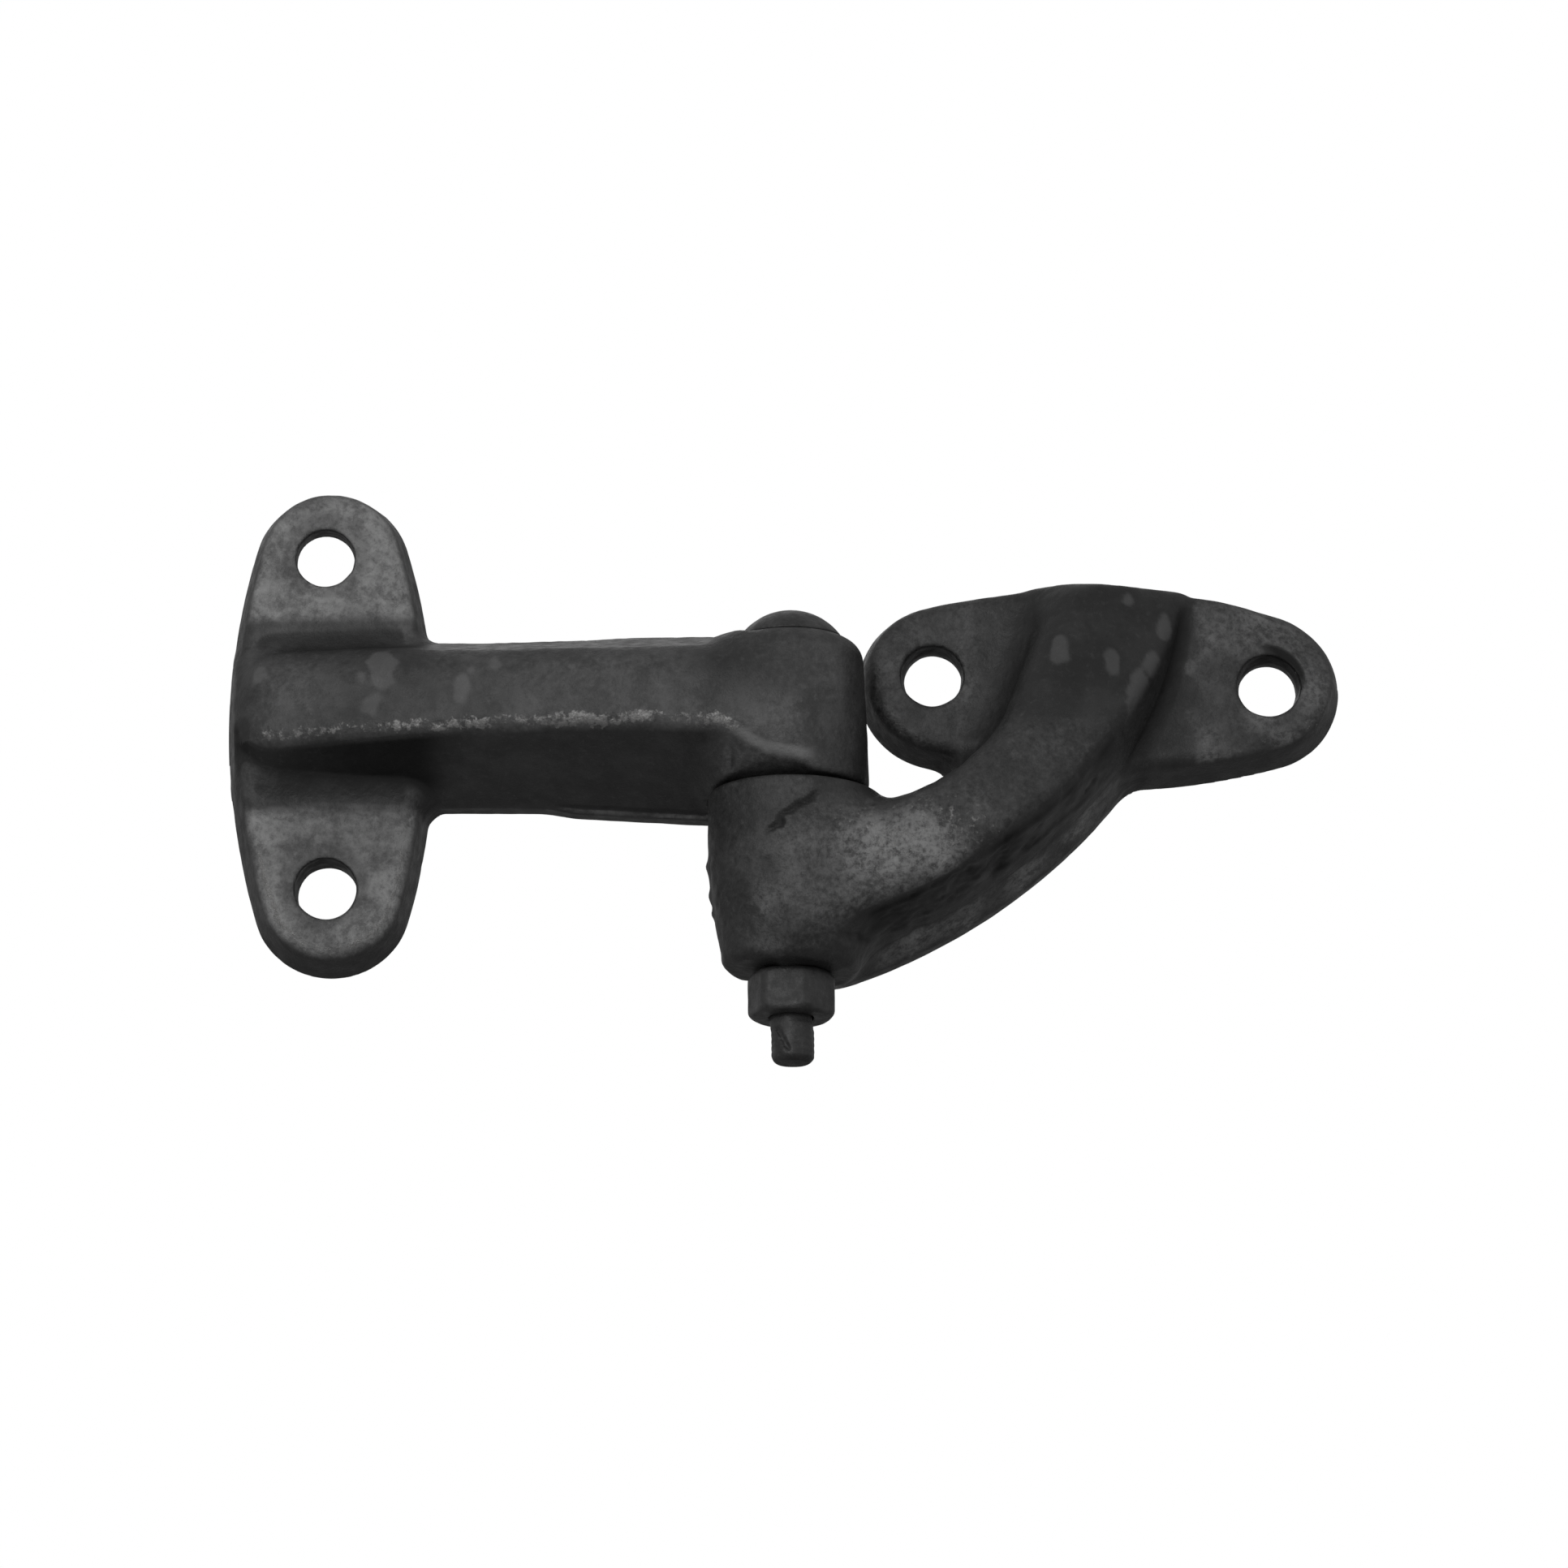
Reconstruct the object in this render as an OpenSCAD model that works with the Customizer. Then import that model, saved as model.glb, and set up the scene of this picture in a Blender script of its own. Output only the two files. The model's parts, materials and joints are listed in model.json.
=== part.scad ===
// T hinge in cast iron: a bolt-on T leaf and an offset leaf, joined by one pivot bolt.
// Frame: the origin is midway between the T leaf's two bolt holes, on its mounting face.
// +X runs along the T leaf's arm to the pivot, +Y points into the wall, +Z is up the pivot.
// Both leaves are drawn flat, with their mounting faces in the plane y = 0.

/* [Pivot] */
// Distance from the T leaf's bolt holes to the pivot axis
pivot_x = 105; // [102:0.5:108]
// How far the pivot axis stands in front of the mounting faces
pivot_depth = 18.5; // [18.5:0.1:19]
// Radius of both knuckles
knuckle_r = 18.4; // [17.8:0.1:18.4]
// Height of the T leaf's knuckle above the bolt-hole midpoint
upper_top = 16.5; // [15:0.5:18]
// Where the T leaf's knuckle ends, below the bolt-hole midpoint
upper_bottom = 18.9; // [18:0.1:19.5]
// Height of the offset leaf's knuckle
lower_h = 41.7; // [40:0.1:43]
// Gap between the two knuckles
knuckle_gap = 0.6; // [0.4:0.1:1]

/* [Bolt and nut] */
// Diameter of the bolt's plain shank
shank_d = 12; // [11:0.5:12]
// Radial clearance between the shank and the bores
bore_clearance = 0.06; // [0.03:0.01:0.1]
// Diameter of the domed head
head_d = 24; // [22:0.5:26]
// Height of the domed head
head_h = 6.8; // [6:0.1:8]
// Height of the square neck under the head
neck_h = 5; // [4:0.5:6]
// Diameter of the threaded end
thread_d = 10; // [9:0.5:10]
// Width of the nut across its flats
nut_af = 17; // [16:0.5:18]
// Height of the nut
nut_h = 10.3; // [8:0.1:11]
// Length of thread that sticks out below the nut
thread_stick_out = 10.4; // [6:0.1:12]

/* [Bolt holes] */
// Diameter of the four fixing holes
hole_d = 14; // [12:0.5:14]

/* [T leaf] */
// Distance between the T leaf's two holes
t_hole_pitch = 78; // [74:1:82]
// Thickness of the T leaf's plate
t_plate_t = 11; // [9:0.5:12]
// Radius of the plate's two ends
t_end_r = 17.7; // [17:0.1:18.5]
// Half of the plate's width at its middle
t_half_w = 23; // [21:0.1:24]
// Half height of the arm at the mounting face, by the plate
t_arm_half_h = 19.5; // [18:0.5:20]
// How much the arm's half height grows towards the knuckle
t_arm_growth = 1.5; // [0:0.5:2]
// Half height of the arm's front face
t_arm_front_half_h = 9.5; // [8:0.5:11]

/* [Offset leaf] */
// Distance from the pivot axis to the middle of the flange
flange_reach = 70; // [69:0.5:74]
// Height of the flange's middle above the T leaf's bolt-hole midpoint
flange_z = 10; // [8:0.5:12]
// Distance between the flange's two holes
flange_hole_pitch = 76; // [74:0.5:76]
// Thickness of the flange
flange_t = 11; // [9:0.5:12]
// Radius of the flange's end nearest the pivot
flange_near_r = 18.7; // [17:0.1:18.9]
// Radius of the flange's far end
flange_far_r = 17.7; // [16:0.1:18.5]
// Half of the flange's height at its middle
flange_half_h = 23.5; // [21:0.5:24]
// Width of the rib where it crosses the flange
rib_w = 31; // [28:0.5:32]

/* [Hidden] */
$fn = 64;

// A thin slice, how far a cut runs past a surface, and a length beyond anything here
eps = 0.01;
cut = 1;
far = 300;
iron = "#33363a";
steel = "#3d3f42";

// Pivot stack, from the head down
lower_top_z = -upper_bottom - knuckle_gap;
lower_bottom_z = lower_top_z - lower_h;
running_gap = 0.3;
// Room left around each knuckle for the other leaf, and around the bolt's head, neck and thread
swing_gap = 1;
head_gap = 0.8;
neck_gap = 0.4;
thread_gap = 0.1;
// How far the nut stands turned from square, in degrees
nut_turn = 8;
shoulder_z = lower_bottom_z - running_gap;
nut_bottom_z = shoulder_z - nut_h;
bolt_end_z = nut_bottom_z - thread_stick_out;
bore_r = shank_d / 2 + bore_clearance;
knuckle_front = pivot_depth + knuckle_r;

// The upper knuckle narrows upwards and the lower one downwards, each from a level above its foot
upper_h = upper_top + upper_bottom;
upper_taper = 1.6;
upper_mid_h = 6;
upper_rim = 5;
lower_taper = 2.9;
lower_mid_h = 19;
lower_rim = 3;

// The T leaf's plate sits a little low and to the right of its holes
t_plate_x = 1.1;
t_plate_z = -0.9;
t_end_pitch = t_hole_pitch - 0.2;
// The T leaf's arm sits a little high, and its crown starts short of the pivot
t_arm_z = 1;
arm_land = 6;
arm_stop = 5;
t_arm_crown_r = 420;
t_arm_crown_back = 10;
t_arm_front = knuckle_front - 0.6;

// The offset leaf's flange, and the crown of its arm, which climbs at an angle from the knuckle
flange_x = pivot_x + flange_reach;
flange_end_pitch = flange_hole_pitch - 4.8;
offset_crown_r = 161;
offset_crown_start = 15;
offset_climb = 45;
offset_arm_front = knuckle_front - 0.5;

// The offset arm's two curved edges: where they start and end, and how each end is pulled
rib_shift = 3;
rib_top_inset = 0.4;
rib_foot_z = -4;
rib_foot_pull = [-24.5, -40];
inner_foot_z = 6;
inner_foot_pull = [-7.5, -22];
arm_foot_inset = 0.4;
lower_pull = [34, 3.6];
arm_top_inset = 2;
upper_pull = [36, -4.5];

// Moves what follows to the pivot axis
module at_pivot(z = 0)
    translate([pivot_x, -pivot_depth, z]) children();

// Extrudes an outline drawn as (x, z) from the mounting plane out to a depth
module front_extrude(depth)
    rotate([90, 0, 0]) linear_extrude(depth) children();

// Thin slice in a plane across the arm, drawn as (y, z)
module cross_slice(x)
    translate([x, 0, 0]) rotate([90, 0, 90]) linear_extrude(eps) children();

// Point on a circle
function on_circle(centre, r, angle) = centre + r * [cos(angle), sin(angle)];

// Points on an arc between two angles, leaving out a number of steps at each end
function arc(centre, r, from, to, steps, skip = 0) =
    [for (i = [skip:steps - skip]) on_circle(centre, r, from + (to - from) * i / steps)];

// Radius of the long arc that touches an end circle and is half_w from the middle line
function side_r(half, end_r, half_w) =
    (half * half + half_w * half_w - end_r * end_r) / (2 * (half_w - end_r));

// Points up the +X half of an oval plate's outline, without its widest points at x = 0
function half_oval(half, end_r, half_w) =
    let (
        long_r = side_r(half, end_r, half_w),
        long_centre = long_r - half_w,
        touch = atan2(long_centre, half),
        end_steps = 28,
        long_steps = 8
    )
    concat(
        arc([0, long_centre], long_r, 270, 360 - touch, long_steps, 1),
        arc([half, 0], end_r, -touch, touch, end_steps),
        arc([0, -long_centre], long_r, touch, 90, long_steps, 1)
    );

// Plate outline along X: two end circles joined by long arcs that touch them
module oval_outline(end_pitch, near_r, far_r, half_w) {
    half = end_pitch / 2;
    far_half = half_oval(half, far_r, half_w);
    near_half = half_oval(half, near_r, half_w);
    polygon(concat(
        [[0, -half_w]], far_half,
        [[0, half_w]], [for (point = near_half) -point]
    ));
}

// Two fixing holes on a line along X, through a plate on the mounting plane
module fixing_holes(pitch, depth)
    for (side = [-1, 1])
        translate([side * pitch / 2, cut, 0])
            rotate([90, 0, 0]) cylinder(h = depth + 2 * cut, d = hole_d);

// Solid knuckle: full radius at mid_z, other radii at its two ends, and both rims eased
module knuckle(h, top_r, bottom_r, mid_z, rim) {
    rim_steps = 5;
    top_rim = [for (i = [0:rim_steps])
        [top_r - rim * (1 - sin(90 * i / rim_steps)), h - rim * (1 - cos(90 * i / rim_steps))]];
    bottom_rim = [for (i = [0:rim_steps])
        [bottom_r - rim / 2 * (1 - cos(90 * i / rim_steps)), rim / 2 * (1 - sin(90 * i / rim_steps))]];
    rotate_extrude()
        polygon(concat([[0, h]], top_rim, [[knuckle_r, mid_z]], bottom_rim, [[0, 0]]));
}

// Section of the T leaf's arm as (y, z): a straight land at the back, then drafted sides
module t_arm_section(half_h) {
    front = knuckle_front + cut;
    polygon([
        [0, -half_h], [-arm_land, -half_h], [-front, -t_arm_front_half_h],
        [-front, t_arm_front_half_h], [-arm_land, half_h], [0, half_h]
    ]);
}

module t_plate_outline()
    translate([t_plate_x, t_plate_z])
        rotate(90) oval_outline(t_end_pitch, t_end_r, t_end_r, t_half_w);

// Arm from the plate's far edge to the knuckle, crowned so that it thins towards the plate
module t_arm()
    intersection() {
        translate([0, 0, t_arm_z])
            hull() {
                cross_slice(-2 * t_half_w) t_arm_section(t_arm_half_h);
                cross_slice(pivot_x - arm_stop) t_arm_section(t_arm_half_h + t_arm_growth);
            }
        front_extrude(knuckle_front + cut) {
            t_plate_outline();
            translate([t_plate_x, -2 * t_arm_half_h]) square([pivot_x, 4 * t_arm_half_h]);
        }
        translate([pivot_x - t_arm_crown_back, t_arm_crown_r - t_arm_front, 0])
            cylinder(h = far, r = t_arm_crown_r, center = true, $fn = 180);
    }

// Fixed leaf: vertical oval plate, arm and upper knuckle
module t_leaf()
    color(iron)
        difference() {
            union() {
                front_extrude(t_plate_t) t_plate_outline();
                difference() {
                    t_arm();
                    at_pivot(upper_top - neck_gap) cylinder(h = far, r = head_d / 2 + head_gap);
                }
                at_pivot(-upper_bottom)
                    knuckle(upper_h, knuckle_r - upper_taper, knuckle_r, upper_mid_h, upper_rim);
            }
            rotate([0, 90, 0]) fixing_holes(t_hole_pitch, t_plate_t);
            at_pivot() cylinder(h = far, r = bore_r, center = true);
            at_pivot(-upper_bottom - far) cylinder(h = far, r = knuckle_r + swing_gap);
            at_pivot(upper_top - neck_h - neck_gap)
                linear_extrude(neck_h + 2 * neck_gap + cut) square(shank_d + neck_gap, center = true);
        }

// Point on a cubic curve through two ends, each with its pull point
function bezier(p0, p1, p2, p3, t) =
    pow(1 - t, 3) * p0 + 3 * pow(1 - t, 2) * t * p1 + 3 * (1 - t) * t * t * p2 + t * t * t * p3;

// Points on a cubic curve; the pulls are measured from the end they belong to
function curve(start, start_pull, end_pull, end, steps) =
    [for (i = [0:steps]) bezier(start, start + start_pull, end + end_pull, end, i / steps)];

// Outline of the offset arm and rib as (x, z): out along the lower edge, up the rib, back inside
module offset_arm_outline() {
    steps = 10;
    rib_right = flange_x + rib_w / 2 + rib_shift;
    rib_left = rib_right - rib_w;
    rib_top = flange_z + flange_half_h - rib_top_inset;
    lower_edge = curve(
        [pivot_x, lower_bottom_z + arm_foot_inset], lower_pull,
        rib_foot_pull, [rib_right, flange_z + rib_foot_z], steps);
    upper_edge = curve(
        [rib_left, flange_z + inner_foot_z], inner_foot_pull,
        upper_pull, [pivot_x, lower_top_z - arm_top_inset], steps);
    polygon(concat(lower_edge, [[rib_right, rib_top], [rib_left, rib_top]], upper_edge));
}

// Cranked arm, crowned along its climb so that it thins from the knuckle to the rib's top
module offset_arm()
    intersection() {
        front_extrude(knuckle_front + cut)
            intersection() {
                offset_arm_outline();
                union() {
                    flange_outline();
                    translate([0, flange_z - far]) square(far);
                }
            }
        translate([pivot_x, offset_crown_r - offset_arm_front, (lower_top_z + lower_bottom_z) / 2])
            rotate([0, -offset_climb, 0])
                translate([offset_crown_start, 0, 0])
                    cylinder(h = far, r = offset_crown_r, center = true, $fn = 180);
    }

module flange_outline()
    translate([flange_x, flange_z])
        oval_outline(flange_end_pitch, flange_near_r, flange_far_r, flange_half_h);

// Moving leaf: horizontal oval flange, cranked arm and lower knuckle
module offset_leaf()
    color(iron)
        difference() {
            union() {
                front_extrude(flange_t) flange_outline();
                offset_arm();
                at_pivot(lower_bottom_z)
                    knuckle(lower_h, knuckle_r, knuckle_r - lower_taper, lower_mid_h, lower_rim);
            }
            translate([flange_x, 0, flange_z]) fixing_holes(flange_hole_pitch, flange_t);
            at_pivot(lower_top_z) cylinder(h = far, r = knuckle_r + swing_gap);
            at_pivot() cylinder(h = far, r = bore_r, center = true);
        }

// Cup-head bolt: dome, square neck, plain shank to a shoulder, and the threaded end
module pivot_bolt()
    color(steel)
        at_pivot() {
            dome_r = (pow(head_d / 2, 2) + pow(head_h, 2)) / (2 * head_h);
            intersection() {
                translate([0, 0, upper_top + head_h - dome_r]) sphere(dome_r);
                translate([0, 0, upper_top]) cylinder(h = head_h + cut, d = head_d);
            }
            translate([0, 0, upper_top - neck_h])
                linear_extrude(neck_h + cut) square(shank_d, center = true);
            translate([0, 0, shoulder_z]) cylinder(h = upper_top - shoulder_z, d = shank_d);
            thread_end();
        }

// Threaded end with a chamfered tip
module thread_end() {
    tip = 1.2;
    translate([0, 0, bolt_end_z + tip]) cylinder(h = shoulder_z - bolt_end_z - tip + cut, d = thread_d);
    translate([0, 0, bolt_end_z]) cylinder(h = tip, d1 = thread_d - 2 * tip, d2 = thread_d);
}

// Hexagon nut with both faces chamfered, and one flat nearly square to the front
module hex_nut()
    color(steel)
        at_pivot(nut_bottom_z)
            difference() {
                intersection() {
                    rotate(-nut_turn) cylinder(h = nut_h, d = nut_af / cos(30), $fn = 6);
                    nut_chamfer_limit();
                }
                translate([0, 0, -cut]) cylinder(h = nut_h + 2 * cut, d = thread_d + thread_gap);
            }

// Double cone that takes the corners off the nut
module nut_chamfer_limit() {
    face_r = nut_af / 2 - 0.3;
    clear_r = nut_af / 2 / cos(30) + 0.5;
    drop = 1.1;
    cylinder(h = drop, r1 = face_r, r2 = clear_r);
    translate([0, 0, drop]) cylinder(h = nut_h - 2 * drop, r = clear_r);
    translate([0, 0, nut_h - drop]) cylinder(h = drop, r1 = clear_r, r2 = face_r);
}

t_leaf();
offset_leaf();
pivot_bolt();
hex_nut();
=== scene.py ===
"""Looks of a cast T hinge: two cast leaves, a cup-head pivot bolt and its nut, all painted black.

Each piece is described by a signed distance in millimetres, negative inside, and meshed from it.
Depth is measured out from the mounting plane towards the viewer, so depth is minus y.
Lengths are in millimetres and places in the part's own frame, except in the last section, in metres.
"""

import json
import math

import bmesh
import bpy
import numpy as np
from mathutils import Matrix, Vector


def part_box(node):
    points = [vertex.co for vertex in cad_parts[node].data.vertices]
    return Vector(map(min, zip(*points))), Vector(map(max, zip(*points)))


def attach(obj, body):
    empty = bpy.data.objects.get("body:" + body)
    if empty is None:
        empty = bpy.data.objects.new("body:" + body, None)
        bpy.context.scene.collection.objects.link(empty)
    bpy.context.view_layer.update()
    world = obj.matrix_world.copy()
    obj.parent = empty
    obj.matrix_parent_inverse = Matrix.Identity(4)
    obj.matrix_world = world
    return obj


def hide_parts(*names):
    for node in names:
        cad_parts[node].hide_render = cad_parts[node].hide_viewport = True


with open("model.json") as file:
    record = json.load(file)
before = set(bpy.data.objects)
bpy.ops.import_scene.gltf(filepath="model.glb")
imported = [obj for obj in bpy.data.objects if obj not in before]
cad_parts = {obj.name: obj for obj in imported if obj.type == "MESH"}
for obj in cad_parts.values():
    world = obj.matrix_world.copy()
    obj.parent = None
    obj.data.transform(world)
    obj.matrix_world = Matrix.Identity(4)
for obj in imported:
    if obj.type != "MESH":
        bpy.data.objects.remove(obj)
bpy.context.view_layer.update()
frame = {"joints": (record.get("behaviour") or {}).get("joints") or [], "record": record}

MM = 0.001
MOUNTS = {mount["name"]: mount for mount in frame["record"]["mounts"]}


# ---------------------------------------------------------------- places from the frame

def corners_mm(node):
    """Lowest and highest corner of a CAD node, in millimetres."""
    low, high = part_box(node)
    return np.array(low) / MM, np.array(high) / MM


PIVOT_X, PIVOT_Y, _ = np.array(frame["joints"][0]["pos_m"]) / MM
PIVOT_DEPTH = -PIVOT_Y
BOLT_LOW, BOLT_HIGH = corners_mm("pivot_bolt")
NUT_LOW, NUT_HIGH = corners_mm("hex_nut")
OFFSET_LOW, OFFSET_HIGH = corners_mm("offset_leaf")
T_BOLTS = MOUNTS["t_leaf_bolts"]
FLANGE_BOLTS = MOUNTS["offset_leaf_bolts"]
HOLE_R = T_BOLTS["dims"]["hole_r_mm"]
T_HALF_PITCH = T_BOLTS["dims"]["spacing_y_mm"] / 2
FLANGE_HALF_PITCH = FLANGE_BOLTS["dims"]["spacing_x_mm"] / 2
FLANGE_X, _, FLANGE_Z = np.array(FLANGE_BOLTS["pos_m"]) / MM

# Pivot stack, in millimetres
HEAD_R = (BOLT_HIGH[0] - BOLT_LOW[0]) / 2
HEAD_H = 6.8
KNUCKLE_TOP = BOLT_HIGH[2] - HEAD_H
UPPER_BOTTOM = -18.9
LOWER_TOP = -19.5
LOWER_BOTTOM = OFFSET_LOW[2]
KNUCKLE_R = 18.4
UPPER_R = 18.0
LOWER_R = 19.1
SWING_R = 19.9  # room cut in each leaf for the other one's knuckle
BACK_ROOM = 2.8  # extra room at the back of the T leaf, for the offset leaf's arm
BORE_R = 6.06
SHANK_R = 6.0
THREAD_R = 5.0
NUT_FLAT_R = 8.95
NUT_TURN = 8


# ---------------------------------------------------------------- distance tools

def round_and(a, b, radius):
    """Where both a and b are inside, with the edge between them rounded."""
    u = np.maximum(a + radius, 0)
    v = np.maximum(b + radius, 0)
    return np.minimum(-radius, np.maximum(a, b)) + np.hypot(u, v)


def round_or(a, b, radius):
    """Where a or b is inside, with a fillet where they meet."""
    u = np.maximum(radius - a, 0)
    v = np.maximum(radius - b, 0)
    return np.maximum(radius, np.minimum(a, b)) - np.hypot(u, v)


def step(low, high, value):
    """Smooth rise from 0 at low to 1 at high."""
    t = np.clip((value - low) / (high - low), 0, 1)
    return t * t * (3 - 2 * t)


def oval(along, across, half_pitch, end_r, half_w):
    """Distance to two end circles joined by two long arcs that touch them."""
    along = np.abs(along)
    across = np.abs(across)
    arc_r = (half_pitch ** 2 + half_w ** 2 - end_r ** 2) / (2 * (half_w - end_r))
    arc_centre = arc_r - half_w
    beyond = along * arc_centre > (across + arc_centre) * half_pitch
    end = np.hypot(along - half_pitch, across) - end_r
    side = np.hypot(along, across + arc_centre) - arc_r
    return np.where(beyond, end, side)


def from_pivot(p):
    """Distance from the pivot's axis."""
    return np.hypot(p[..., 0] - PIVOT_X, p[..., 1] - PIVOT_Y)


# ---------------------------------------------------------------- lattice noise

# Large odd numbers that scatter the lattice's whole numbers, and the mask that keeps 24 bits
SCATTER = (374761393, 668265263, 2147483647)
SEED_SCATTER = 974634777
STIR = 1274126177
LOW_BITS = 0xFFFFFF
HALF_BITS = 0x7FFFFF
SEED_SHIFT = 17.3


def lattice(cell, seed):
    """Repeatable random numbers from -1 to 1 on whole-number lattice points."""
    h = sum(cell[..., i] * SCATTER[i] for i in range(3)) + seed * SEED_SCATTER
    h = (h ^ (h >> 13)) * STIR
    h = (h ^ (h >> 16)) & LOW_BITS
    return h / float(HALF_BITS) - 1


def noise(p, size, seed):
    """Smooth noise from about -1 to 1 whose lumps are about size wide."""
    q = p / size + seed * SEED_SHIFT
    cell = np.floor(q).astype(np.int64)
    t = q - cell
    t = t * t * (3 - 2 * t)
    total = 0
    for dx in (0, 1):
        for dy in (0, 1):
            for dz in (0, 1):
                weight = (np.abs(1 - dx - t[..., 0]) * np.abs(1 - dy - t[..., 1])
                          * np.abs(1 - dz - t[..., 2]))
                total = total + weight * lattice(cell + np.array([dx, dy, dz]), seed)
    return total


def casting_skin(p, coarse):
    """Height of a sand-cast surface: long waves, lumps, and shallow pits."""
    height = 0.22 * noise(p, 19.0, 1) + 0.12 * noise(p, 8.0, 2)
    height += coarse * (0.075 * noise(p, 3.4, 3) + 0.05 * noise(p, 1.7, 4))
    pits = np.maximum(noise(p, 2.3, 5) - 0.45, 0)
    return height - 0.35 * coarse * pits


# ---------------------------------------------------------------- meshing

def surface_net(field, low, high, voxel):
    """Points and quads around the zero surface of a field, one point per crossed cell."""
    counts = np.ceil((high - low) / voxel).astype(int) + 1
    axes = [low[i] + voxel * np.arange(counts[i]) for i in range(3)]
    inside = np.stack([
        field(np.stack(np.meshgrid([x], axes[1], axes[2], indexing="ij"), axis=-1))[0] < 0
        for x in axes[0]])
    nx, ny, nz = inside.shape
    total = np.zeros((nx - 1, ny - 1, nz - 1), int)
    for i in (0, 1):
        for j in (0, 1):
            for k in (0, 1):
                total += inside[i:nx - 1 + i, j:ny - 1 + j, k:nz - 1 + k]
    crossed = (total > 0) & (total < 8)
    number = np.full(crossed.shape, -1)
    number[crossed] = np.arange(np.count_nonzero(crossed))
    points = low + (np.argwhere(crossed) + 0.5) * voxel
    quads = []
    for a in range(3):
        order = (a, (a + 1) % 3, (a + 2) % 3)
        near = np.transpose(inside, order)
        cells = np.transpose(number, order)
        start = near[:-1, 1:-1, 1:-1]
        i, j, k = np.nonzero(start != near[1:, 1:-1, 1:-1])
        loop = np.stack([cells[i, j, k], cells[i, j + 1, k],
                         cells[i, j + 1, k + 1], cells[i, j, k + 1]], axis=1)
        inward = ~start[i, j, k]
        loop[inward] = loop[inward, ::-1]
        quads.append(loop)
    return points, np.concatenate(quads)


# Steps over which a field's slope and its bend are measured, the rounds of settling and how far a
# point moves in one, and how near to each other points are joined
SLOPE_STEP = 0.03
BEND_STEP = 1.4
SETTLE_ROUNDS = 5
LONGEST_MOVE = 0.6  # of a voxel
JOIN_WITHIN = 0.02
MARGIN = 3  # voxels meshed beyond the CAD node's box


def slope(field, p):
    """Gradient of a field."""
    out = np.empty_like(p)
    for i in range(3):
        offset = np.zeros(3)
        offset[i] = SLOPE_STEP
        out[:, i] = (field(p + offset) - field(p - offset)) / (2 * SLOPE_STEP)
    return out


def settle(field, points, voxel):
    """Moves points onto the field's zero surface; returns them and their normals."""
    for _ in range(SETTLE_ROUNDS):
        g = slope(field, points)
        size = np.maximum((g * g).sum(1), 1e-4)
        move = g * (field(points) / size)[:, None]
        length = np.linalg.norm(move, axis=1)[:, None]
        points = points - move * np.minimum(1, LONGEST_MOVE * voxel / np.maximum(length, 1e-9))
    g = slope(field, points)
    return points, g / np.maximum(np.linalg.norm(g, axis=1)[:, None], 1e-9)


def bend(field, p):
    """How sharply the surface bends: above 0 on outer edges, below 0 in hollows."""
    total = -6 * field(p)
    for i in range(3):
        offset = np.zeros(3)
        offset[i] = BEND_STEP
        total += field(p + offset) + field(p - offset)
    return total / BEND_STEP


def weld(mesh):
    """Joins points that settled onto the same place, which drops the faces of no area there."""
    shape = bmesh.new()
    shape.from_mesh(mesh)
    bmesh.ops.remove_doubles(shape, verts=shape.verts, dist=JOIN_WITHIN * MM)
    shape.to_mesh(mesh)
    shape.free()


def build(name, field, skin, wear_and_highlight, dust_and_shading, thin, node, body, material, voxel):
    """Meshes a field, roughens it, and puts it in the place of a CAD node."""
    low, high = corners_mm(node)
    points, quads = surface_net(field, low - MARGIN * voxel, high + MARGIN * voxel, voxel)
    points, normals = settle(field, points, voxel)
    curve = bend(field, points)
    wear_and_highlight_values = wear_and_highlight(points, normals, curve)
    # chalk is the greying above 0, with painted shade below 0 and painted light on the offset leaf's
    # lip
    chalk = dust_and_shading(points, normals)
    pale = thin(points, normals)
    points = points + normals * skin(points)[:, None]
    mesh = bpy.data.meshes.new(name)
    mesh.from_pydata((points * MM).tolist(), [], quads.tolist())
    for label, value in (("edge", curve), ("wear_and_highlight", wear_and_highlight_values), ("dust_and_shading", chalk), ("thin", pale)):
        attribute = mesh.attributes.new(label, "FLOAT", "POINT")
        attribute.data.foreach_set("value", value.astype(np.float32))
    weld(mesh)
    mesh.validate()
    mesh.shade_smooth()
    piece = bpy.data.objects.new(name, mesh)
    bpy.context.scene.collection.objects.link(piece)
    mesh.materials.append(material)
    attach(piece, body)
    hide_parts(node)
    return piece


# ---------------------------------------------------------------- plates and fixing holes

PLATE_T = 11.0
PLATE_RIM_R = 2.6
PLATE_DRAFT = 0.24
SIDE_SCALE = 0.97  # brings a drafted side's value back to a true distance
BACK_RIM_R = 0.7
HOLE_RIM_R = 0.9

# Each hole: the side of the middle it is on, its shift in x and z, how far its axis leans per mm
# of depth in x and z, how much the skin of the casting narrows it, and how much its top opens
# per mm of depth towards the front
T_HOLES = ((1, -0.2, 0.2, 0.0, 0.16, 0.55, 0.01), (-1, 0.5, 0.0, 0.06, 0.08, 0.1, 0.02))
FLANGE_HOLES = ((-1, 0.1, 0.95, 0.03, 0.14, 0.35, 0.08), (1, -0.2, -1.5, -0.04, 0.12, 0.5, 0.12))


def cast_hole(x, depth, z, shift_x, shift_z, lean_x, lean_z, skin, opening):
    """Outside of a fixing hole whose axis leans a little and whose top opens to the front."""
    from_middle = depth - PLATE_T / 2
    flare = opening * np.maximum(from_middle, 0)
    across = x - shift_x + lean_x * from_middle
    up = z - shift_z + lean_z * from_middle - flare
    return HOLE_R - skin + flare - np.hypot(across, up)


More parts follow.
